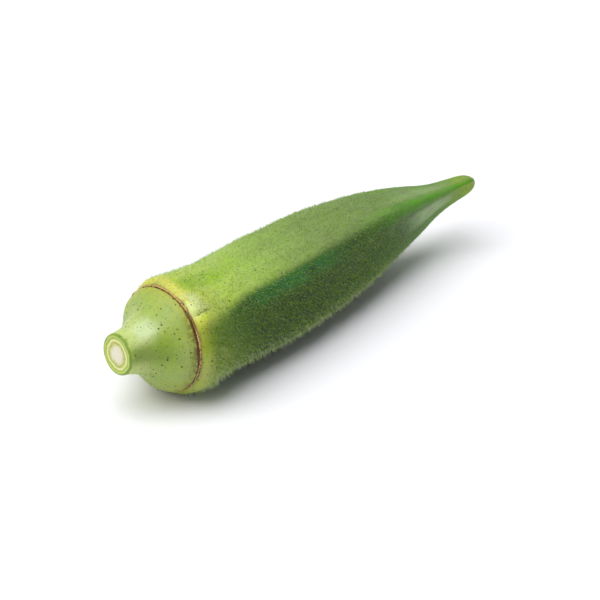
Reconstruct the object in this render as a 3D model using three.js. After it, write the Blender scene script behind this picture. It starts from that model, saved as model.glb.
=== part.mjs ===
// A whole okra pod, as picked and lying on its side: the cut stem stub, the domed cap, the thin scar where the
// calyx fell away, and the five-ribbed body that narrows to a blunt tip. It grew in one piece, so it is one solid.
// Millimetres. +X runs from the stem to the tip, +Z is up, and the origin is under the middle, on the surface.
import * as THREE from "three";

// ---- Driving dimensions ----
const STEM_LENGTH = 11.8; // from the scar back to the cut end
const BODY_LENGTH = 93.5; // from the scar to the tip
const STEM_RADIUS = 4.2;
const SCAR_RADIUS = 11.05; // the cap's edge, where the scar runs round
const BODY_RADIUS = 12.6; // the body's shoulder, its thickest part
const RIBS = 5;
const FIRST_RIB = THREE.MathUtils.degToRad(44); // from straight up, towards -Y
const FLAT_DEPTH = 0.9; // how much the soft rib underneath is pressed flat

// ---- How finely the skin is cut ----
const STATIONS = 81;
const COLUMNS = 60;

// The outline from the stem to the tip: distance from the scar, and the radius over the ribs.
const OUTLINE = new THREE.SplineCurve([
  new THREE.Vector2(-STEM_LENGTH, STEM_RADIUS),
  new THREE.Vector2(-10.6, 4.37),
  new THREE.Vector2(-8.8, 4.82),
  new THREE.Vector2(-7.1, 5.4),
  new THREE.Vector2(-5.7, 6.3),
  new THREE.Vector2(-4.3, 7.68),
  new THREE.Vector2(-2.9, 9.32),
  new THREE.Vector2(-1.6, 10.55),
  new THREE.Vector2(-0.6, SCAR_RADIUS),
  new THREE.Vector2(0, SCAR_RADIUS),
  new THREE.Vector2(0.6, 11.55),
  new THREE.Vector2(1.6, 12.25),
  new THREE.Vector2(3.2, BODY_RADIUS),
  new THREE.Vector2(6, 12.35),
  new THREE.Vector2(11, 11.86),
  new THREE.Vector2(18, 11.9),
  new THREE.Vector2(27, 12.1),
  new THREE.Vector2(36, 11.95),
  new THREE.Vector2(45, 11.4),
  new THREE.Vector2(54, 10.4),
  new THREE.Vector2(63, 8.9),
  new THREE.Vector2(71, 7.1),
  new THREE.Vector2(77.5, 4.95),
  new THREE.Vector2(83.2, 3.35),
  new THREE.Vector2(88.8, 2.42),
  new THREE.Vector2(91.6, 1.8),
  new THREE.Vector2(93, 1),
  new THREE.Vector2(BODY_LENGTH, 0),
]);

// How deep the hollows between the ribs are, as a share of the radius: none on the stem, most towards the tip.
const HOLLOWS = new THREE.SplineCurve([
  new THREE.Vector2(-STEM_LENGTH, 0),
  new THREE.Vector2(0, 0.02),
  new THREE.Vector2(18, 0.09),
  new THREE.Vector2(45, 0.12),
  new THREE.Vector2(68, 0.16),
  new THREE.Vector2(84, 0.17),
  new THREE.Vector2(BODY_LENGTH, 0.08),
]);

// The line through the middle of the pod: it bows a little to one side, dips, and lifts again at the tip.
const MIDDLE = new THREE.CatmullRomCurve3([
  new THREE.Vector3(-STEM_LENGTH, 0.5, 1.1),
  new THREE.Vector3(0, 0, 0),
  new THREE.Vector3(22, 1.1, -1.5),
  new THREE.Vector3(43.5, 3.1, -2),
  new THREE.Vector3(65, 4, -1.6),
  new THREE.Vector3(86, 2.1, 0),
  new THREE.Vector3(BODY_LENGTH, 1.1, 0.7),
]);

// Linear look-up of a 2-D curve's y at a given x, from evenly drawn samples of it.
function sampler(curve, samples = 400) {
  const points = curve.getPoints(samples);
  return (x) => {
    const after = points.findIndex((p) => p.x >= x);
    if (after < 1) return points[after < 0 ? samples : 0].y;
    const [a, b] = [points[after - 1], points[after]];
    return THREE.MathUtils.mapLinear(x, a.x, b.x, a.y, b.y);
  };
}

// Where the middle line passes a given distance from the scar, and which way it runs there.
function middleAt(distance) {
  const share = (distance + STEM_LENGTH) / (BODY_LENGTH + STEM_LENGTH);
  return { point: MIDDLE.getPointAt(share), along: MIDDLE.getTangentAt(share) };
}

// One ring of points round the middle line: a circle drawn in between its ribs.
function ring(distance, radius, hollow) {
  const { point, along } = middleAt(distance);
  const front = new THREE.Vector3(0, 0, 1).cross(along).normalize().negate();
  const up = along.clone().cross(front).negate().normalize();
  return Array.from({ length: COLUMNS }, (_, column) => {
    const angle = FIRST_RIB + (column / COLUMNS) * 2 * Math.PI;
    const between = (1 - Math.cos(RIBS * (angle - FIRST_RIB))) / 2;
    const reach = radius * (1 - hollow * between);
    return point
      .clone()
      .addScaledVector(up, reach * Math.cos(angle))
      .addScaledVector(front, reach * Math.sin(angle));
  });
}

// The closed skin: rings joined by quads, a fan over the cut stem and a fan over the tip.
function podGeometry() {
  const hollowAt = sampler(HOLLOWS);
  const stations = OUTLINE.getPoints(STATIONS).slice(0, -1);
  const rings = stations.map(({ x, y }) => ring(x, y, hollowAt(x)));
  const points = [...rings.flat(), middleAt(-STEM_LENGTH).point, middleAt(BODY_LENGTH).point];
  const [stemCentre, tip] = [points.length - 2, points.length - 1];
  const lastRing = (rings.length - 1) * COLUMNS;
  const triangles = [];
  for (let column = 0; column < COLUMNS; column++) {
    const next = (column + 1) % COLUMNS;
    triangles.push(stemCentre, next, column);
    triangles.push(tip, lastRing + column, lastRing + next);
    for (let row = 0; row < lastRing; row += COLUMNS) {
      triangles.push(row + column, row + next, row + COLUMNS + column);
      triangles.push(row + next, row + COLUMNS + next, row + COLUMNS + column);
    }
  }
  const floor = Math.min(...points.map((p) => p.z)) + FLAT_DEPTH;
  points.forEach((p) => (p.z = Math.max(p.z, floor)));
  return new THREE.BufferGeometry().setFromPoints(points).setIndex(triangles);
}

// The pod's own frame: under its middle, on the surface that it lies on.
function standOnOrigin(geometry) {
  geometry.computeBoundingBox();
  const { min, max } = geometry.boundingBox;
  return geometry.translate(-(min.x + max.x) / 2, -(min.y + max.y) / 2, -min.z);
}

const skin = new THREE.MeshStandardMaterial({ color: 0x7fa348, roughness: 0.6, metalness: 0 });
const pod = new THREE.Mesh(standOnOrigin(podGeometry()), skin);
pod.name = "okra_pod";

const okra = new THREE.Group();
okra.add(pod);

export default okra;
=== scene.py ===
"""A whole okra pod lying on its side. Tables are in millimetres, and everything in Blender is in metres."""

import math
import random

import bpy
from mathutils import Euler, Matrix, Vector, noise


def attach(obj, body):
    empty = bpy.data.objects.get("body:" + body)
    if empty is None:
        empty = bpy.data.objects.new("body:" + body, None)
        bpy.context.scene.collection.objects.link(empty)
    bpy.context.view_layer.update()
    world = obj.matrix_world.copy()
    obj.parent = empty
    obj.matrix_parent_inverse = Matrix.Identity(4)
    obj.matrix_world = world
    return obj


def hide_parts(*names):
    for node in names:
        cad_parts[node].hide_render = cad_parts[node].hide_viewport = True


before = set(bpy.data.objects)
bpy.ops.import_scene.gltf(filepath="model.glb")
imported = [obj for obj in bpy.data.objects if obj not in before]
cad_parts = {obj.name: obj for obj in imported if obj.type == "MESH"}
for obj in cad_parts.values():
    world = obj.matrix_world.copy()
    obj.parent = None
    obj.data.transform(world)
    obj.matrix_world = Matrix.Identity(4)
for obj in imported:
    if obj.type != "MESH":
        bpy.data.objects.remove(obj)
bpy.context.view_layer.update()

MM = 0.001

# ---- The pod's measures ----
STEM_LENGTH = 11.8          # from the cut end to the scar
RIBS = 5
RIB_SPREAD = 360 / RIBS     # degrees from one rib to the next
COLUMNS_PER_RIB = 8         # columns of faces from one rib to the next
COLUMNS = RIBS * COLUMNS_PER_RIB
FIRST_RIB = 45.0            # degrees from straight up, towards -Y
RIB_TURN = 1.0              # degrees that the ribs lie back from that
SOFTNESS = 0.25             # how gently the lowest rib is pressed flat

# The middle line, from the cut end to the tip.
MIDDLE = [
    (-52.44, -0.62, 14.02),
    (-40.64, -1.12, 12.92),
    (-18.64, -0.02, 11.42),
    (2.86, 1.98, 10.92),
    (24.36, 2.88, 11.32),
    (45.36, 0.98, 12.82),
    (52.94, -0.13, 13.50),
]

# Rings of the skin: distance from the scar, radius over the ribs, and the hollows' depth as a share of it.
RINGS = [
    (-11.8, 4.12, 0.00),
    (-11.7, 4.28, 0.00),
    (-11.4, 4.36, 0.00),
    (-10.8, 4.42, 0.00),
    (-9.8, 4.58, 0.00),
    (-8.8, 4.82, 0.00),
    (-7.9, 5.08, 0.00),
    (-7.1, 5.40, 0.00),
    (-6.4, 5.80, 0.00),
    (-5.7, 6.35, 0.005),
    (-5.0, 6.88, 0.01),
    (-4.3, 7.68, 0.01),
    (-3.6, 8.52, 0.01),
    (-2.9, 9.32, 0.01),
    (-2.2, 10.02, 0.01),
    (-1.55, 10.58, 0.01),
    (-1.05, 10.92, 0.01),
    (-0.65, 11.1, 0.01),
    (-0.4, 11.16, 0.01),
    (-0.2, 11.08, 0.01),
    (0.0, 11.0, 0.01),
    (0.2, 11.08, 0.015),
    (0.45, 11.35, 0.02),
    (0.8, 11.78, 0.025),
    (1.25, 12.15, 0.03),
    (1.9, 12.45, 0.03),
    (2.8, 12.62, 0.035),
    (4.2, 12.62, 0.04),
    (6.0, 12.35, 0.05),
    (8.2, 12.08, 0.06),
    (11.0, 11.86, 0.07),
    (14.5, 11.78, 0.08),
    (18.5, 11.90, 0.09),
    (23.0, 12.04, 0.10),
    (28.0, 12.12, 0.105),
    (33.0, 12.08, 0.11),
    (38.0, 11.88, 0.115),
    (43.0, 11.58, 0.12),
    (48.0, 11.20, 0.13),
    (53.0, 10.58, 0.14),
    (58.0, 9.75, 0.15),
    (63.0, 8.95, 0.16),
    (68.0, 7.92, 0.17),
    (72.5, 6.72, 0.18),
    (76.5, 5.42, 0.18),
    (80.0, 4.25, 0.18),
    (83.5, 3.38, 0.18),
    (86.8, 2.88, 0.17),
    (89.6, 2.55, 0.15),
    (91.6, 2.18, 0.12),
    (92.9, 1.58, 0.09),
    (93.7, 0.80, 0.05),
]
BODY_LENGTH = 94.0

STEM_RADIUS = RINGS[0][1]
# Rings of the cut face, from its rim inwards: radius, and the step along the stem.
CUT_RINGS = [(3.9, -0.02), (3.5, 0.06), (2.9, 0.04), (2.2, 0.02), (1.5, -0.03), (0.8, -0.02), (0.4, 0.0)]

SCAR_RADIUS = 11.05         # from the middle of the pod to the middle of the ring
SCAR_THICKNESS = 0.28       # the ring's own radius, before it is torn
HAIRS = 34000
HAIR_RADIUS = 0.055
HAIR_ROOT = 0.05            # how deep a hair stands in the skin
HAIR_LEAN = Vector((0, 0, -0.4))
HAIR_STRAY = 0.16           # how far a hair strays from that lean, each way
SHORTEST_HAIR = 0.15        # hairs cut shorter than this are left out
HAIR_CLEARANCE = 0.12       # what a hair's tip leaves free above the surface
BARE_HEIGHT = 0.25          # no hair grows lower than this

# Colours along the pod: millimetres past the scar, and a screen colour.
LIGHT_SIDE = [
    (-12, (146, 174, 60)), (-10.6, (192, 208, 124)), (-8, (184, 200, 122)), (-5, (150, 172, 84)),
    (-2.5, (148, 168, 72)), (-0.5, (166, 172, 68)), (1, (198, 198, 82)), (4, (190, 208, 84)),
    (9, (180, 206, 90)), (20, (158, 188, 86)), (30, (138, 166, 82)), (42, (124, 148, 80)),
    (60, (120, 144, 84)), (80, (114, 142, 80)), (88, (122, 152, 66)), (94, (136, 162, 68)),
]
# Darker on the front and underneath: partly the skin's deeper green, partly painted shade.
SHADE_SIDE = [
    (-12, (136, 160, 48)), (-8, (130, 154, 56)), (-4, (148, 171, 84)), (-1, (156, 168, 72)),
    (1, (146, 158, 46)), (5, (116, 146, 32)), (10, (68, 108, 22)), (18, (40, 73, 12)),
    (35, (35, 66, 16)), (55, (54, 86, 34)), (72, (82, 112, 56)), (80, (104, 136, 66)),
    (87, (124, 157, 62)), (94, (144, 170, 54)),
]

# Single screen colours on the skin.
LIME = (134, 178, 34)
DEEP_TEAL = (40, 124, 52)
# Painted highlight on the knuckle of the upper front rib, by the scar.
KNUCKLE_HIGHLIGHT = (208, 222, 148)
PALE_LOW = (166, 178, 88)
# Painted highlight down the middle of the facets towards the tip.
STREAK_HIGHLIGHT = (160, 186, 136)
FRESH_LINE = (76, 148, 18)
# Painted shade along the crease on the front rib.
CREASE_SHADE = (96, 104, 36)
SPECK = (44, 52, 8)
PORE = (96, 128, 60)
GROOVE_BROWN = (108, 66, 24)
GROOVE_DARK = (58, 32, 8)
STAIN = (92, 92, 30)
# Painted highlight on the top of the cap.
PAINTED_CAP_HIGHLIGHT = (212, 228, 190)
# Used both for painted shade in front of the cap and for the cap's darker mottling.
CAP_OLIVE = (108, 138, 8)
RIM_GREEN = (112, 146, 34)

# The scar and the down: share of the way from dark to light, and a screen colour.
SCAR_TANS = [(0.0, (158, 104, 48)), (0.5, (214, 168, 100)), (1.0, (240, 208, 156))]
SCAR_DARK = (82, 48, 16)
DOWN_TONES = [(0.0, (70, 114, 18)), (0.4, (146, 182, 54)), (1.0, (232, 236, 212))]

# Colours across the cut face: share of its radius, and a screen colour.
CUT_RADIUS = 4.3
CUT_DOTS = (128, 142, 48)
CUT_COLOURS = [
    (0.0, (214, 210, 188)), (0.36, (212, 208, 182)), (0.45, (206, 204, 146)), (0.52, (176, 180, 92)),
    (0.6, (164, 172, 76)), (0.65, (212, 214, 142)), (0.7, (214, 216, 148)), (0.76, (154, 174, 58)),
    (0.82, (148, 170, 52)), (0.865, (184, 198, 98)), (0.9, (164, 184, 74)), (0.94, (128, 154, 44)),
    (1.0, (106, 136, 36)),
]

# ---- The stage and the view ----
# The lights: where each shines from, how strongly, and how many degrees wide it is.
LIGHTS = {
    "key": ((-0.28, 0.1, 0.94), 2.85, 62),
    "left_fill": ((-0.8, 0.3, 0.45), 0.85, 50),
}
WORLD_STRENGTH = 0.23
FLOOR_SIZE = 6              # metres
FLOOR_COLOUR = (0.895, 0.895, 0.93, 1)
CAMERA_TURN, CAMERA_LIFT = -44.6, 30.5      # degrees round from -Y, and up
CAMERA_LENS, CAMERA_DISTANCE = 175.6, 587.0
CAMERA_AIM = (-18.22, -17.65, 19.65)

# How far each column from one rib to the next is pressed in, as a share of the hollow's depth.
PRESS = (0.0, 0.22, 0.58, 0.88, 1.0, 0.88, 0.58, 0.22)


# ---- Small helpers ----
def deselect_all():
    """Nothing selected, and object mode, so that an operator acts only on what is picked next."""
    if bpy.context.object and bpy.context.object.mode != "OBJECT":
        bpy.ops.object.mode_set(mode="OBJECT")
    bpy.ops.object.select_all(action="DESELECT")


def apply_modifier(piece, kind, **settings):
    """Adds one modifier with its settings and applies it."""
    bpy.context.view_layer.objects.active = piece
    modifier = piece.modifiers.new(kind.title(), kind)
    for name, value in settings.items():
        setattr(modifier, name, value)
    bpy.ops.object.modifier_apply(modifier=modifier.name)


def select_vertices(piece, wanted):
    """In edit mode, selects the vertices whose index is wanted, and nothing else."""
    bpy.ops.object.mode_set(mode="OBJECT")
    for vertex in piece.data.vertices:
        vertex.select = vertex.index in wanted
    for edge in piece.data.edges:
        edge.select = all(index in wanted for index in edge.vertices)
    for face in piece.data.polygons:
        face.select = all(index in wanted for index in face.vertices)
    bpy.ops.object.mode_set(mode="EDIT")


# ---- The skin ----
def extrude_skin():
    """A straight pod along X from the cut end: a circle, extruded ring by ring and closed at the tip."""
    deselect_all()
    first = RINGS[0]
    bpy.ops.mesh.primitive_circle_add(
        vertices=COLUMNS, radius=first[1] * MM, fill_type="NOTHING", rotation=(0, math.pi / 2, 0)
    )
    pod = bpy.context.object
    pod.name = pod.data.name = "pod"
    bpy.ops.object.transform_apply(location=False, rotation=True, scale=False)
    bpy.ops.object.mode_set(mode="EDIT")
    bpy.ops.mesh.select_all(action="SELECT")
    bpy.ops.transform.rotate(
        value=math.radians(RIB_TURN), orient_axis="X", center_override=(0, 0, 0)
    )
    for before, ring in zip(RINGS, RINGS[1:]):
        step = (ring[0] - before[0]) * MM
        bpy.ops.mesh.extrude_region_move(TRANSFORM_OT_translate={"value": (step, 0, 0)})
        grow = ring[1] / before[1]
        bpy.ops.transform.resize(value=(1, grow, grow), center_override=(0, 0, 0))
    step = (BODY_LENGTH - RINGS[-1][0]) * MM
    bpy.ops.mesh.extrude_region_move(TRANSFORM_OT_translate={"value": (step, 0, 0)})
    bpy.ops.mesh.merge(type="CENTER")
    bpy.ops.object.mode_set(mode="OBJECT")
    return pod


def column_of(place):
    """Which of the eight columns between one rib and the next a vertex stands in: 0 is on a rib."""
    angle = math.degrees(math.atan2(-place.y, place.z)) + RIB_TURN - FIRST_RIB
    return round(angle * COLUMNS / 360) % COLUMNS_PER_RIB


def press_hollows(pod):
    """Presses the columns between the ribs towards the middle, ring by ring."""
    rings = {}
    for vertex in pod.data.vertices:
        rings.setdefault(round(vertex.co.x / MM, 3), []).append(vertex)
    for distance, _, hollow in RINGS:
        for vertex in rings[round(distance + STEM_LENGTH, 3)]:
            share = 1 - hollow * PRESS[column_of(vertex.co)]
            vertex.co.y *= share
            vertex.co.z *= share


def close_cut(pod):
    """The cut face of the stem: the open rim is drawn inwards ring by ring and closed in the middle."""
    deselect_all()
    bpy.context.view_layer.objects.active = pod
    before, rim = STEM_RADIUS, set(range(COLUMNS))
    select_vertices(pod, rim)
    for radius, step in CUT_RINGS:
        bpy.ops.mesh.extrude_region_move(TRANSFORM_OT_translate={"value": (step * MM, 0, 0)})
        bpy.ops.transform.resize(value=(1, radius / before, radius / before), center_override=(0, 0, 0))
        before = radius
    bpy.ops.mesh.merge(type="CENTER")
    bpy.ops.mesh.select_all(action="SELECT")
    bpy.ops.mesh.normals_make_consistent(inside=False)
    bpy.ops.object.mode_set(mode="OBJECT")


def settle_faces(pod):
    """Lists the faces in one fixed order, as the extrudes list them in a different one on each run."""
    faces = []
    for face in pod.data.polygons:
        corners = list(face.vertices)
        start = corners.index(min(corners))
        faces.append(corners[start:] + corners[:start])
    places = [vertex.co.copy() for vertex in pod.data.vertices]
    pod.data.clear_geometry()
    pod.data.from_pydata(places, [], sorted(faces))


def remember_straight(piece):
    """Keeps where each point was on the straight pod: millimetres past the scar, and across."""
    straight = piece.data.attributes.new("straight", "FLOAT_VECTOR", "POINT")
    for vertex, value in zip(piece.data.vertices, straight.data):
        value.vector = vertex.co / MM - Vector((STEM_LENGTH, 0, 0))


def middle_line():
    """The line through the middle of the pod that every straight piece is bent along."""
    deselect_all()
    bpy.ops.curve.primitive_bezier_curve_add()
    line = bpy.context.object
    line.name = "middle_line"
    line.data.dimensions = "3D"
    line.data.twist_mode = "Z_UP"
    spline = line.data.splines[0]
    spline.resolution_u = 64
    spline.bezier_points.add(len(MIDDLE) - len(spline.bezier_points))
    for point, place in zip(spline.bezier_points, MIDDLE):
        point.co = Vector(place) * MM
        point.handle_left_type = point.handle_right_type = "AUTO"
    return line


def smooth_step(low, high, value):
    """0 below low, 1 above high, and an easy curve between."""
    share = min(max((value - low) / (high - low), 0), 1)
    return share * share * (3 - 2 * share)


def bump_at(value, centre, width):
    """A round bump of height 1 at the centre, falling off over the width."""
    return math.exp(-(((value - centre) / width) ** 2))


def relief(straight):
    """How far the skin stands out from the plain ribbed shape, in millimetres."""
    distance = straight.x
    angle = math.degrees(math.atan2(-straight.y, straight.z)) - FIRST_RIB + RIB_TURN
    from_rib = (angle + RIB_SPREAD / 2) % RIB_SPREAD - RIB_SPREAD / 2
    round_pod = Vector((math.cos(math.radians(angle)), math.sin(math.radians(angle)), 0))
    lumps = noise.noise(round_pod * 1.3 + Vector((0, 0, distance * 0.11)))
    ripples = noise.noise(round_pod * 4.5 + Vector((5, 0, distance * 0.35)))
    on_body = smooth_step(0.2, 2.5, distance) * (1 - smooth_step(70, 92, distance) * 0.7)
    shoulder = bump_at(distance, 2.2, 1.6)
    knuckle = 0.2 * (bump_at(from_rib, -9, 6) + bump_at(from_rib, 9, 6)) * shoulder
    crease = -0.38 * bump_at(from_rib, 0, 2.2) * bump_at(distance, 2.0, 1.7)
    on_cap = smooth_step(-10, -6, distance) * (1 - smooth_step(-1.2, -0.3, distance))
    underside = 0.2 * math.cos(math.radians(angle + FIRST_RIB - 140)) * bump_at(distance, 3.5, 4)
    furrows = 0.08 * math.cos(math.radians(angle) * 10 + 0.6) * on_cap
    cap_lumps = on_cap * 0.12 * lumps
    return on_body * (0.16 * lumps + 0.07 * ripples) + knuckle + crease + cap_lumps + underside + furrows


def shape_relief(pod):
    """Moves each point of the skin out or in along its normal by the relief."""
    straight = pod.data.attributes["straight"].data
    moves = [v.normal * relief(straight[v.index].vector) * MM for v in pod.data.vertices]
    for vertex, move in zip(pod.data.vertices, moves):
        vertex.co += move


def rest_on_surface(piece):
    """Presses a piece softly flat where it lies, so that nothing is below the surface."""
    for vertex in piece.data.vertices:
        vertex.co.z = (vertex.co.z + math.hypot(vertex.co.z, SOFTNESS * MM)) / 2


def mark_cut(pod):
    """Gives the cut face of the stem its own finish."""
    for face in pod.data.polygons:
        face.material_index = 1 if face.center.x < 0.3 * MM and abs(face.normal.x) > 0.7 else 0


def build_pod(line):
    """The finished skin, with room for two finishes: the skin's own, and the cut face's."""
    pod = extrude_skin()
    pod.data.materials.append(None)
    pod.data.materials.append(None)
    close_cut(pod)
    settle_faces(pod)
    mark_cut(pod)
    press_hollows(pod)
    remember_straight(pod)
    apply_modifier(pod, "CURVE", object=line, deform_axis="POS_X")
    apply_modifier(pod, "SUBSURF", levels=2, render_levels=2)
    shape_relief(pod)
    rest_on_surface(pod)
    pod.data.shade_smooth()
    return pod


# ---- The scar ----
def build_scar(line):
    """The ragged ring of dry skin where the calyx fell away, all round the pod."""
    deselect_all()
    bpy.ops.mesh.primitive_torus_add(
        major_segments=320,
        minor_segments=10,
        major_radius=SCAR_RADIUS * MM,
        minor_radius=SCAR_THICKNESS * MM,
        location=(STEM_LENGTH * MM, 0, 0),
        rotation=(0, math.pi / 2, 0),
    )
    scar = bpy.context.object
    scar.name = scar.data.name = "scar"
    bpy.ops.object.transform_apply(location=True, rotation=True, scale=True)
    for vertex in scar.data.vertices:
        vertex.co = ragged(vertex.co)
    remember_straight(scar)
    apply_modifier(scar, "CURVE", object=line, deform_axis="POS_X")
    rest_on_surface(scar)
    scar.data.shade_smooth()
    return scar


def ragged(place):
    """Where a point of the plain ring goes on the ragged one."""
    along, across = place.x / MM - STEM_LENGTH, Vector((0, place.y, place.z)) / MM
    around = across.normalized()
    wander = noise.noise(around * 5.0) * 0.16 + noise.noise(around * 19.0) * 0.1
    thick = 0.8 + 0.7 * noise.noise(around * 8.0 + Vector((3, 0, 0))) + 0.5 * noise.noise(around * 27.0)
    thick = max(thick, 0.3)
    swell = 0.08 * noise.noise(around * 21.0 + Vector((0, 4, 0)))
    lift = (across.length - SCAR_RADIUS) * thick * 0.7 + swell
    fray = 0.1 * noise.noise(around * 60.0 + Vector((along * 3, 0, 0)))
    along = along * thick * 1.15 + wander + fray + 0.12
    return Vector((along + STEM_LENGTH, 0, 0)) * MM + around * (SCAR_RADIUS + lift) * MM


# ---- The down ----
def one_hair():
    """One hair, a millimetre tall: an open three-sided cone."""
    deselect_all()
    bpy.ops.mesh.primitive_cone_add(
        vertices=3,
        radius1=HAIR_RADIUS * MM,
        radius2=0,
        depth=MM,
        end_fill_type="NOTHING",
        location=(0, 0, MM / 2),
    )
    hair = bpy.context.object
    bpy.ops.object.transform_apply(location=True, rotation=True, scale=True)
    points = [vertex.co.copy() for vertex in hair.data.vertices]
    faces = [tuple(face.vertices) for face in hair.data.polygons]
    bpy.data.objects.remove(hair)
    return points, faces


def underneath(straight):
    """0 on the top and the sides of the pod, and 1 low down."""
    return 1 - smooth_step(-7, -1, straight.z)


def hair_share(straight):
    """How thickly the down grows at a place on the pod, from 0 to 1."""
    around = (1 - 0.7 * smooth_step(4, 9, straight.z)) * (1 - 0.8 * underneath(straight))
    body = around * smooth_step(1.0, 4.0, straight.x) * (1 - 0.85 * smooth_step(56, 78, straight.x))
    cap = 0.05 * smooth_step(-9, -5, straight.x) * (1 - smooth_step(-1.5, -0.5, straight.x))
    return body + cap


def hair_size(straight):
    """How long a hair is at a place, in millimetres, and how wide, as a share. Both are most low down."""
    if straight.x < 0:
        return 0.3, 0.8
    shorter = 1 - 0.6 * smooth_step(50, 80, straight.x)
    return (0.55 + 0.7 * underneath(straight)) * shorter, 1 + 0.2 * underneath(straight)


def hair_tone(straight):
    """How pale a hair is, from 0 to 1: green on the sides and on top, and pale underneath, where the
    paleness is partly painted light for hairs lit through from behind.
    """
    on_top = 0.16 * smooth_step(3, 8, straight.z) * (1 - smooth_step(22, 45, straight.x))
    return 0.2 + on_top + 0.36 * underneath(straight) * (1 - smooth_step(55, 80, straight.x))


def planting(mesh):
    """The skin's triangles, and each one's pull on the hairs: its area times how thickly they grow there."""
    straight = mesh.attributes["straight"].data
    mesh.calc_loop_triangles()
    triangles, weights = [], []
    for triangle in mesh.loop_triangles:
        middle = sum((straight[index].vector for index in triangle.vertices), Vector()) / 3
        triangles.append(tuple(triangle.vertices))
        weights.append(triangle.area * hair_share(middle))
    return triangles, weights


def root_on(corners, chance):
    """A chance place on a triangle, and the skin's normal there."""
    first, second, third = corners
    u, v = chance.random(), chance.random()
    if u + v > 1:
        u, v = 1 - u, 1 - v
    root = first.co + (second.co - first.co) * u + (third.co - first.co) * v
    return root, (first.normal + second.normal + third.normal).normalized()


def kept_clear(root, direction, length):
    """A hair's length, cut short where its tip would come too near the surface."""
    room, drop = root.z - HAIR_CLEARANCE * MM, -direction.z * length * MM
    return length * (room / drop) if drop > room else length


def grow_down(pod):
    """Plants the hairs over the skin, thickly on the body and thinly on the cap. They droop a little."""
    points, faces = one_hair()
    chance = random.Random(11)
    vertices, straight = pod.data.vertices, pod.data.attributes["straight"].data
    triangles, weights = planting(pod.data)
    all_points, all_faces, all_tones = [], [], []
    for triangle in chance.choices(triangles, weights, k=HAIRS):
        root, normal = root_on([vertices[index] for index in triangle], chance)
        place = straight[triangle[0]].vector
        lean = Vector([chance.uniform(-HAIR_STRAY, HAIR_STRAY) for _ in range(3)]) + HAIR_LEAN
        direction = (normal + lean).normalized()
        length, wide = hair_size(place)
        length = kept_clear(root, direction, length * chance.uniform(0.5, 1.35))
        if length < SHORTEST_HAIR or root.z < BARE_HEIGHT * MM:
            continue
        spin = Euler((0, 0, chance.uniform(0, 2 * math.pi))).to_quaternion()
        turn = direction.to_track_quat("Z", "X") @ spin
        tone = hair_tone(place) + chance.uniform(-0.2, 0.4)
        start = len(all_points)
        for point in points:
            grown = Vector((point.x * wide, point.y * wide, point.z * length))
            all_points.append(root - direction * HAIR_ROOT * MM + turn @ grown)
        all_tones += [tone] * len(points)
        all_faces += [tuple(start + index for index in face) for face in faces]
    return down_piece(all_points, all_faces, all_tones)


def down_piece(points, faces, tones):
    """All the hairs as one piece, each with its own tone."""
    mesh = bpy.data.meshes.new("down")
    mesh.from_pydata(points, [], faces)
    mesh.shade_smooth()
    mesh.attributes.new("tone", "FLOAT", "POINT").data.foreach_set("value", tones)
    down = bpy.data.objects.new("down", mesh)
    bpy.context.collection.objects.link(down)
    return down


# ---- Nodes ----
def add_node(tree, kind, inputs=(), **settings):
    """Adds a node, sets it, and links or fills its inputs. Returns the node."""
    node = tree.nodes.new("ShaderNode" + kind)
    for name, value in settings.items():
        setattr(node, name, value)
    pairs = inputs.items() if isinstance(inputs, dict) else enumerate(inputs)
    for key, value in pairs:
        if value is None:
            continue
        if isinstance(value, bpy.types.NodeSocket):
            tree.links.new(value, node.inputs[key])
        else:
            node.inputs[key].default_value = value
    return node


def calc(tree, operation, *values):
    """One sum, as a Math node's output."""
    return add_node(tree, "Math", values, operation=operation).outputs[0]


def span(tree, value, low, high):
    """0 where a value is below low, 1 above high, and an easy curve between. High may come first."""
    ends = {"Value": value, "From Min": low, "From Max": high}
    return add_node(tree, "MapRange", ends, interpolation_type="SMOOTHSTEP").outputs[0]


def blend(tree, factor, first, second, kind="MIX"):
    """One colour laid over another."""
    node = add_node(tree, "Mix", {0: factor, 6: first, 7: second}, data_type="RGBA", blend_type=kind)
    return node.outputs[2]


def srgb(red, green, blue):
    """A screen colour, 0 to 255, as the linear colour that a node takes."""
    def linear(value):
        value /= 255
        return value / 12.92 if value <= 0.04045 else ((value + 0.055) / 1.055) ** 2.4
    return (linear(red), linear(green), linear(blue), 1.0)


def ramp(tree, factor, stops):
    """A colour ramp along a factor that runs from 0 to 1: each stop gives a share and a screen colour."""
    node = add_node(tree, "ValToRGB", [factor])
    elements = node.color_ramp.elements
    while len(elements) < len(stops):
        elements.new(0.5)
    for element, (place, colour) in zip(elements, stops):
        element.position = place
        element.color = srgb(*colour)
    return node.outputs[0]


def along_ramp(tree, distance, stops):
    """A colour ramp along the pod: each stop gives the millimetres past the scar and a screen colour."""
    low, high = stops[0][0], stops[-1][0]
    factor = add_node(tree, "MapRange", {"Value": distance, "From Min": low, "From Max": high}).outputs[0]
    return ramp(tree, factor, [((place - low) / (high - low), colour) for place, colour in stops])


def new_group(name, inputs, outputs):
    """A shader node group with named sockets: the tree, its group input node and its group output node."""
    tree = bpy.data.node_groups.new(name, "ShaderNodeTree")
    for socket, kind, value in inputs:
        made = tree.interface.new_socket(socket, in_out="INPUT", socket_type="NodeSocket" + kind)
        if value is not None:
            made.default_value = value
    for socket, kind in outputs:
        tree.interface.new_socket(socket, in_out="OUTPUT", socket_type="NodeSocket" + kind)
    return tree, tree.nodes.new("NodeGroupInput"), tree.nodes.new("NodeGroupOutput")


def use_group(tree, group, **inputs):
    """Places a node group with its own values."""
    node = tree.nodes.new("ShaderNodeGroup")
    node.node_tree = group
    for name, value in inputs.items():
        socket = node.inputs[name.replace("_", " ")]
        if isinstance(value, bpy.types.NodeSocket):
            tree.links.new(value, socket)
        else:
            socket.default_value = value
    return node


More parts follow.
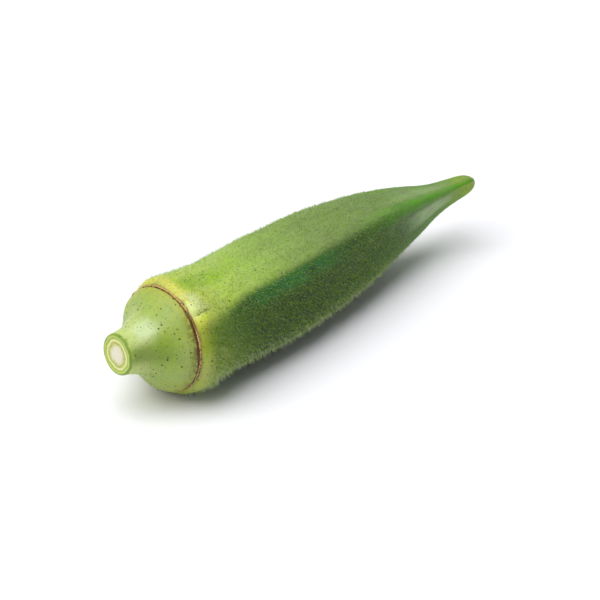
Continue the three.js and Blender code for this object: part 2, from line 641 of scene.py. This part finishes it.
def specks_group():
    """Small dark marks scattered on a skin: how many, how large, and how far they spread."""
    sockets = [
        ("Place", "Vector", None),
        ("Spacing", "Float", 1.5),
        ("Size", "Float", 0.3),
        ("Share", "Float", 0.5),
    ]
    tree, given, made = new_group("specks", sockets, [("Mask", "Float")])
    place, spacing, size, share = given.outputs[:4]
    finer = calc(tree, "DIVIDE", 1.3, size)
    stray = add_node(tree, "TexNoise", {"Vector": place, "Scale": finer, "Detail": 2.0}).outputs[1]
    stray = add_node(tree, "VectorMath", [stray, (0.5, 0.5, 0.5)], operation="SUBTRACT").outputs[0]
    stray = add_node(tree, "VectorMath", {0: stray, "Scale": size}, operation="SCALE").outputs[0]
    strayed = add_node(tree, "VectorMath", [place, stray], operation="ADD").outputs[0]
    scale = calc(tree, "DIVIDE", 1.0, spacing)
    cells = add_node(tree, "TexVoronoi", {"Vector": strayed, "Scale": scale, "Randomness": 0.9})
    luck = add_node(tree, "SeparateColor", [cells.outputs["Color"]])
    here = calc(tree, "LESS_THAN", luck.outputs[0], share)
    reach = calc(tree, "MULTIPLY", size, calc(tree, "ADD", 0.35, luck.outputs[1]))
    away = calc(tree, "MULTIPLY", cells.outputs["Distance"], spacing)
    near = calc(tree, "SUBTRACT", 1.0, calc(tree, "DIVIDE", away, reach))
    soft = span(tree, near, 0.0, 0.4)
    tree.links.new(calc(tree, "MULTIPLY", soft, here), made.inputs["Mask"])
    return tree


def mottle_group():
    """Soft cloudy variation on a living skin, between 0 and 1."""
    sockets = [("Place", "Vector", None), ("Spacing", "Float", 4.0), ("Sharpness", "Float", 0.5)]
    tree, given, made = new_group("mottle", sockets, [("Value", "Float")])
    place, spacing, sharpness = given.outputs[:3]
    scale = calc(tree, "DIVIDE", 1.0, spacing)
    values = {"Vector": place, "Scale": scale, "Detail": 4.0, "Roughness": 0.6}
    cloud = add_node(tree, "TexNoise", values).outputs[0]
    edge = calc(tree, "MULTIPLY", calc(tree, "SUBTRACT", 1.0, sharpness), 0.5)
    low, high = calc(tree, "SUBTRACT", 0.5, edge), calc(tree, "ADD", 0.5, edge)
    tree.links.new(span(tree, cloud, low, high), made.inputs["Value"])
    return tree


def veins_group():
    """Streaks that run along the pod, between 0 and 1."""
    sockets = [("Place", "Vector", None), ("Spacing", "Float", 1.0), ("Stretch", "Float", 16.0)]
    tree, given, made = new_group("veins", sockets, [("Value", "Float")])
    place, spacing, stretch = given.outputs[:3]
    squeeze = add_node(tree, "CombineXYZ", [calc(tree, "DIVIDE", 1.0, stretch), 1.0, 1.0]).outputs[0]
    squeezed = add_node(tree, "VectorMath", [place, squeeze], operation="MULTIPLY").outputs[0]
    scale = calc(tree, "DIVIDE", 1.0, spacing)
    streaks = add_node(tree, "TexNoise", {"Vector": squeezed, "Scale": scale, "Detail": 3.0}).outputs[0]
    tree.links.new(span(tree, streaks, 0.25, 0.75), made.inputs["Value"])
    return tree


def material_tree(name):
    """A new material: its tree and its Principled shader."""
    material = bpy.data.materials.new(name)
    material.use_nodes = True
    tree = material.node_tree
    return material, tree, tree.nodes["Principled BSDF"]


def pod_places(tree):
    """Where a point was on the straight pod, how far along, the angle round, and the angle from a rib."""
    straight = add_node(tree, "Attribute", attribute_name="straight").outputs["Vector"]
    parts = add_node(tree, "SeparateXYZ", [straight]).outputs
    across = calc(tree, "MULTIPLY", parts[1], -1.0)
    angle = calc(tree, "DEGREES", calc(tree, "ARCTAN2", across, parts[2]))
    from_first = calc(tree, "SUBTRACT", angle, FIRST_RIB - RIB_TURN)
    from_rib = calc(tree, "WRAP", from_first, RIB_SPREAD / 2, -RIB_SPREAD / 2)
    return straight, parts[0], calc(tree, "WRAP", angle, 360.0, 0.0), from_rib


def between(tree, value, start, full, fade, end):
    """0 up to start, 1 from full to fade, and 0 again past end."""
    return calc(tree, "MULTIPLY", span(tree, value, start, full), span(tree, value, end, fade))


def off_angle(tree, angle, centre):
    """How many degrees round the pod lie between a place and a centre line, either way."""
    return calc(tree, "ABSOLUTE", calc(tree, "WRAP", calc(tree, "SUBTRACT", angle, centre), 180.0, -180.0))


def product(tree, *values):
    """All the masks multiplied together."""
    result = values[0]
    for value in values[1:]:
        result = calc(tree, "MULTIPLY", result, value)
    return result


def shift(tree, value, cloud, reach):
    """A measure pushed to and fro by a cloudy value, so that an edge drawn from it wanders."""
    return calc(tree, "ADD", value, calc(tree, "MULTIPLY", calc(tree, "SUBTRACT", cloud, 0.5), reach))


def body_colour(tree, along, angle, from_rib, cloud, grain, vein):
    """The greens of the skin: light on top, darker on the front and underneath (partly the skin's deeper
    green, partly painted shade), limes in the hollows, fresh by the ribs.
    """
    wandering = shift(tree, along, cloud, 4.0)
    light = along_ramp(tree, wandering, LIGHT_SIDE)
    shade = along_ramp(tree, wandering, SHADE_SIDE)
    off_rib = calc(tree, "ABSOLUTE", from_rib)
    in_hollow = span(tree, off_rib, 19.0, 31.0)
    lime = product(
        tree, in_hollow, between(tree, wandering, 1.5, 4.5, 7.0, 24.0), span(tree, cloud, 0.0, 0.5)
    )
    colour = blend(tree, product(tree, lime, 0.65), light, srgb(*LIME))

    # The shade side: painted shade over the front and the underside, on top of the skin's deeper green
    # there.
    turn = shift(tree, angle, grain, 4.0)
    front = calc(tree, "ADD", turn, calc(tree, "MULTIPLY", span(tree, along, 4.0, 16.0), 11.0))
    side = product(
        tree, span(tree, front, 50.0, 64.0), span(tree, turn, 296.0, 256.0), span(tree, along, -14.0, 3.0)
    )
    colour = blend(tree, side, colour, shade)
    teal = product(
        tree, between(tree, turn, 44.0, 50.0, 56.0, 70.0), between(tree, along, 13.0, 20.0, 34.0, 54.0)
    )
    colour = blend(tree, product(tree, teal, span(tree, cloud, 0.0, 0.6), 0.75), colour, srgb(*DEEP_TEAL))
    by_low = span(tree, off_angle(tree, angle, 112.0), 40.0, 14.0)
    low = product(tree, by_low, between(tree, along, -1.0, 1.0, 3.0, 16.0))
    colour = blend(tree, product(tree, low, 0.6), colour, srgb(*PALE_LOW))
    # Painted highlight: a pale patch on the knuckle of the upper front rib only.
    by_knuckle = span(tree, off_angle(tree, angle, 33.0), 19.0, 6.0)
    knuckle = product(tree, by_knuckle, between(tree, wandering, 0.2, 1.2, 2.0, 4.6))
    colour = blend(tree, product(tree, knuckle, 0.8), colour, srgb(*KNUCKLE_HIGHLIGHT))
    return late_lines(tree, colour, along, angle, off_rib, side, grain, vein)


def late_lines(tree, colour, along, angle, off_rib, side, grain, vein):
    """Towards the tip: fresh green lines on the ribs, most on the front one, and a painted highlight streak
    down the middle of the facets between.
    """
    late = span(tree, along, 46.0, 76.0)
    by_rib = span(tree, shift(tree, off_rib, grain, 5.0), 17.0, 9.0)
    by_front = span(tree, off_angle(tree, angle, 44.0), 52.0, 30.0)
    fresher = calc(tree, "ADD", 0.4, calc(tree, "MULTIPLY", by_front, 0.6))
    fresh = product(tree, by_rib, late, fresher, calc(tree, "ADD", 0.4, calc(tree, "MULTIPLY", vein, 0.6)))
    colour = blend(tree, product(tree, fresh, 0.9), colour, srgb(*FRESH_LINE))
    # Painted highlight: a pale streak down the middle of each facet, strongest on the shade side.
    highlight_streak = product(tree, span(tree, off_rib, 14.0, 27.0), between(tree, along, 66.0, 79.0, 81.0, 88.0))
    highlight_streak = product(tree, highlight_streak, calc(tree, "ADD", 0.3, calc(tree, "MULTIPLY", side, 0.6)))
    return blend(tree, highlight_streak, colour, srgb(*STREAK_HIGHLIGHT))


def cap_colour(tree, colour, along, angle, cloud, grain):
    """On the cap and the stem: a painted highlight above, a band of painted shade in front, and a green rim
    at the cut.
    """
    # Painted highlight: a pale mint patch on the upper part of the cap.
    above = span(tree, off_angle(tree, angle, 22.0), 34.0, 8.0)
    painted_highlight = product(tree, above, between(tree, along, -10.0, -7.6, -6.2, -4.0))
    colour = blend(tree, product(tree, painted_highlight, 0.42), colour, srgb(*PAINTED_CAP_HIGHLIGHT))
    # Painted shade: a dull green band on the front of the cap, where its flare turns away from the light.
    in_front = span(tree, off_angle(tree, angle, 76.0), 36.0, 6.0)
    painted_core_shade = product(tree, in_front, between(tree, along, -12.6, -10.4, -5.0, -1.5))
    colour = blend(tree, product(tree, painted_core_shade, 0.7), colour, srgb(*CAP_OLIVE))
    on_cap = between(tree, along, -11.0, -8.0, -1.5, -0.3)
    dusk = product(tree, on_cap, span(tree, grain, 0.45, 0.9), span(tree, cloud, 0.3, 0.8))
    colour = blend(tree, product(tree, dusk, 0.3), colour, srgb(*CAP_OLIVE))
    rim = span(tree, shift(tree, along, grain, 0.5), -11.1, -11.6)
    return blend(tree, product(tree, rim, 0.8), colour, srgb(*RIM_GREEN))


def scar_stains(tree, colour, along, angle, cloud, grain):
    """The brown groove by the scar, the stained skin about it, and painted shade along the short crease on
    the front rib.
    """
    front = between(tree, angle, 20.0, 60.0, 120.0, 200.0)
    wandering = shift(tree, shift(tree, along, grain, 0.35), cloud, 0.4)
    wandering = calc(tree, "ADD", wandering, calc(tree, "MULTIPLY", front, 0.18))
    patches = calc(tree, "MAXIMUM", front, span(tree, cloud, 0.55, 0.8))
    beside = between(tree, wandering, -2.0, -0.5, 0.2, 1.2)
    stain = product(tree, beside, span(tree, grain, 0.3, 0.6), patches)
    colour = blend(tree, product(tree, stain, 0.7), colour, srgb(*STAIN))
    groove = product(tree, between(tree, wandering, -0.5, -0.3, 0.42, 0.6), span(tree, grain, 0.0, 0.35))
    in_front = between(tree, angle, 30.0, 50.0, 120.0, 170.0)
    deep = calc(tree, "ADD", 0.4, calc(tree, "MULTIPLY", in_front, 0.55))
    brown = blend(tree, grain, srgb(*GROOVE_DARK), srgb(*GROOVE_BROWN))
    colour = blend(tree, product(tree, groove, deep), colour, brown)
    # Painted shade: a dark line along the dent of the crease on the front rib.
    from_crease = calc(tree, "SUBTRACT", shift(tree, angle, grain, 5.0), FIRST_RIB - RIB_TURN)
    by_crease = span(tree, calc(tree, "ABSOLUTE", from_crease), 1.4, 0.5)
    crease = product(tree, by_crease, between(tree, along, 0.3, 1.0, 2.8, 6.0))
    return blend(tree, product(tree, crease, 0.6), colour, srgb(*CREASE_SHADE))


def speckled(tree, colour, straight, along, cloud, specks):
    """Faint pores everywhere on the body, and dark specks that crowd near the scar and on the cap."""
    pores = use_group(tree, specks, Place=straight, Spacing=0.5, Size=0.17, Share=0.6).outputs[0]
    pores = product(tree, pores, between(tree, along, 0.0, 3.0, 50.0, 76.0))
    colour = blend(tree, product(tree, pores, 0.5), colour, srgb(*PORE), "MULTIPLY")
    often = span(tree, along, 60.0, 4.0)
    small = use_group(tree, specks, Place=straight, Spacing=0.55, Size=0.13, Share=0.7).outputs[0]
    large = use_group(tree, specks, Place=straight, Spacing=1.0, Size=0.22, Share=0.85).outputs[0]
    marks = product(tree, calc(tree, "MAXIMUM", product(tree, small, 0.8), large), often)
    marks = product(tree, marks, span(tree, cloud, -0.4, 0.4))
    return blend(tree, product(tree, marks, 0.85), colour, srgb(*SPECK))


def skin_material(specks, mottle, veins):
    """The living skin of the pod, from the stem to the tip."""
    material, tree, shader = material_tree("pod_skin")
    straight, along, angle, from_rib = pod_places(tree)
    cloud = use_group(tree, mottle, Place=straight, Spacing=6.0, Sharpness=0.3).outputs[0]
    grain = use_group(tree, mottle, Place=straight, Spacing=1.1, Sharpness=0.2).outputs[0]
    fine = use_group(tree, mottle, Place=straight, Spacing=0.4, Sharpness=0.1).outputs[0]
    vein = use_group(tree, veins, Place=straight, Spacing=0.5, Stretch=24.0).outputs[0]
    broad_vein = use_group(tree, veins, Place=straight, Spacing=1.6, Stretch=14.0).outputs[0]
    colour = body_colour(tree, along, angle, from_rib, cloud, grain, vein)
    colour = cap_colour(tree, colour, along, angle, cloud, grain)

    bright = shift(tree, shift(tree, shift(tree, 1.0, cloud, 0.18), grain, 0.18), fine, 0.24)
    bright = shift(tree, bright, broad_vein, product(tree, span(tree, along, 4.0, 30.0), 0.2))
    rich = shift(tree, shift(tree, 1.0, fine, 0.2), cloud, 0.16)
    values = {"Saturation": rich, "Value": bright, "Color": colour}
    colour = add_node(tree, "HueSaturation", values).outputs[0]
    colour = scar_stains(tree, colour, along, angle, cloud, grain)
    colour = speckled(tree, colour, straight, along, cloud, specks)
    tree.links.new(colour, shader.inputs["Base Color"])

    rough = calc(tree, "ADD", 0.4, calc(tree, "MULTIPLY", fine, 0.18))
    tree.links.new(rough, shader.inputs["Roughness"])
    shader.inputs["Specular IOR Level"].default_value = 0.35
    shader.inputs["Sheen Weight"].default_value = 0.1
    shader.inputs["Sheen Roughness"].default_value = 0.45
    shader.inputs["Sheen Tint"].default_value = (0.86, 0.95, 0.75, 1)
    height = calc(tree, "ADD", calc(tree, "MULTIPLY", grain, 0.6), calc(tree, "MULTIPLY", fine, 0.4))
    bump = add_node(tree, "Bump", {"Height": height, "Strength": 0.6, "Distance": 0.00015})
    tree.links.new(bump.outputs[0], shader.inputs["Normal"])
    return material


def cut_material(specks, mottle):
    """The cut end of the stem: a cream pith, a dotted ring, pale and green rings, and a green rim."""
    material, tree, shader = material_tree("cut_face")
    straight = add_node(tree, "Attribute", attribute_name="straight").outputs["Vector"]
    parts = add_node(tree, "SeparateXYZ", [straight]).outputs
    flat = add_node(tree, "CombineXYZ", [0.0, parts[1], parts[2]]).outputs[0]
    radius = add_node(tree, "VectorMath", [flat], operation="LENGTH").outputs["Value"]
    wobble = use_group(tree, mottle, Place=flat, Spacing=2.2, Sharpness=0.1).outputs[0]
    grain = use_group(tree, mottle, Place=flat, Spacing=0.35, Sharpness=0.1).outputs[0]
    share = calc(tree, "DIVIDE", radius, CUT_RADIUS)
    share = shift(tree, shift(tree, share, wobble, 0.13), grain, 0.05)
    colour = ramp(tree, share, CUT_COLOURS)
    dots = use_group(tree, specks, Place=flat, Spacing=0.32, Size=0.17, Share=0.9).outputs[0]
    dotted = product(tree, dots, between(tree, share, 0.34, 0.46, 0.58, 0.64))
    colour = blend(tree, product(tree, dotted, 0.7), colour, srgb(*CUT_DOTS))
    tree.links.new(colour, shader.inputs["Base Color"])
    shader.inputs["Roughness"].default_value = 0.4
    bump = add_node(tree, "Bump", {"Height": grain, "Strength": 0.6, "Distance": 0.0001})
    tree.links.new(bump.outputs[0], shader.inputs["Normal"])
    return material


def scar_material(mottle):
    """Dry torn skin: tan ridges with dark brown between, and more dark brown beside the front rib's crease
    as painted shade.
    """
    material, tree, shader = material_tree("scar")
    straight, along, angle, _ = pod_places(tree)
    grain = use_group(tree, mottle, Place=straight, Spacing=0.9, Sharpness=0.2).outputs[0]
    fine = use_group(tree, mottle, Place=straight, Spacing=0.25, Sharpness=0.1).outputs[0]
    edge = calc(tree, "ABSOLUTE", calc(tree, "SUBTRACT", shift(tree, along, fine, 0.25), 0.15))
    dry = product(tree, span(tree, edge, 0.34, 0.14), span(tree, grain, 0.12, 0.5))
    # Painted shade: beside the front rib's crease the tan gives way to the scar's dark brown.
    by_crease = between(tree, angle, 34.0, 42.0, 52.0, 66.0)
    dry = product(tree, dry, calc(tree, "SUBTRACT", 1.0, calc(tree, "MULTIPLY", by_crease, 0.6)))
    colour = blend(tree, dry, srgb(*SCAR_DARK), ramp(tree, fine, SCAR_TANS))
    tree.links.new(colour, shader.inputs["Base Color"])
    shader.inputs["Roughness"].default_value = 0.75
    bump = add_node(tree, "Bump", {"Height": fine, "Strength": 0.8, "Distance": 0.00012})
    tree.links.new(bump.outputs[0], shader.inputs["Normal"])
    return material


def down_material():
    """The hairs, green to pale by each one's own tone."""
    material, tree, shader = material_tree("down")
    tone = add_node(tree, "Attribute", attribute_name="tone").outputs["Fac"]
    tree.links.new(ramp(tree, tone, DOWN_TONES), shader.inputs["Base Color"])
    shader.inputs["Roughness"].default_value = 0.55
    shader.inputs["Specular IOR Level"].default_value = 0.2
    return material


def plain_material(name, colour, roughness):
    """A plain finish."""
    material, _, shader = material_tree(name)
    shader.inputs["Base Color"].default_value = colour
    shader.inputs["Roughness"].default_value = roughness
    return material


# ---- The pieces ----
line = middle_line()
pod = build_pod(line)
scar = build_scar(line)
down = grow_down(pod)
bpy.data.objects.remove(line)

specks, mottle, veins = specks_group(), mottle_group(), veins_group()
pod.data.materials[0] = skin_material(specks, mottle, veins)
pod.data.materials[1] = cut_material(specks, mottle)
scar.data.materials.append(scar_material(mottle))
down.data.materials.append(down_material())

for piece in (pod, scar, down):
    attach(piece, "root")
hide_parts("okra_pod")

# ---- The stage ----
deselect_all()
bpy.ops.mesh.primitive_plane_add(size=FLOOR_SIZE)
floor = bpy.context.object
floor.name = "floor"
floor.data.materials.append(plain_material("floor", FLOOR_COLOUR, 0.9))


def sun(name, direction, strength, spread):
    """A soft light from one side, with no edge to its pool."""
    data = bpy.data.lights.new(name, "SUN")
    data.energy, data.angle = strength, math.radians(spread)
    light = bpy.data.objects.new(name, data)
    light.rotation_euler = Vector(direction).to_track_quat("Z", "Y").to_euler()
    bpy.context.collection.objects.link(light)


for light_name, (direction, strength, spread) in LIGHTS.items():
    sun(light_name, direction, strength, spread)
world = bpy.data.worlds.new("studio")
world.use_nodes = True
world.node_tree.nodes["Background"].inputs["Color"].default_value = (1, 1, 1, 1)
world.node_tree.nodes["Background"].inputs["Strength"].default_value = WORLD_STRENGTH
bpy.context.scene.world = world
bpy.context.scene.view_settings.view_transform = "Standard"


def place_camera():
    """A long lens, high on the stem side of the pod."""
    turn, lift = math.radians(CAMERA_TURN), math.radians(CAMERA_LIFT)
    back = Vector((math.sin(turn) * math.cos(lift), -math.cos(turn) * math.cos(lift), math.sin(lift)))
    data = bpy.data.cameras.new("camera")
    data.lens, data.sensor_width = CAMERA_LENS, 36
    camera = bpy.data.objects.new("camera", data)
    camera.location = Vector(CAMERA_AIM) * MM + back * CAMERA_DISTANCE * MM
    camera.rotation_euler = back.to_track_quat("Z", "Y").to_euler()
    bpy.context.collection.objects.link(camera)
    bpy.context.scene.camera = camera


place_camera()
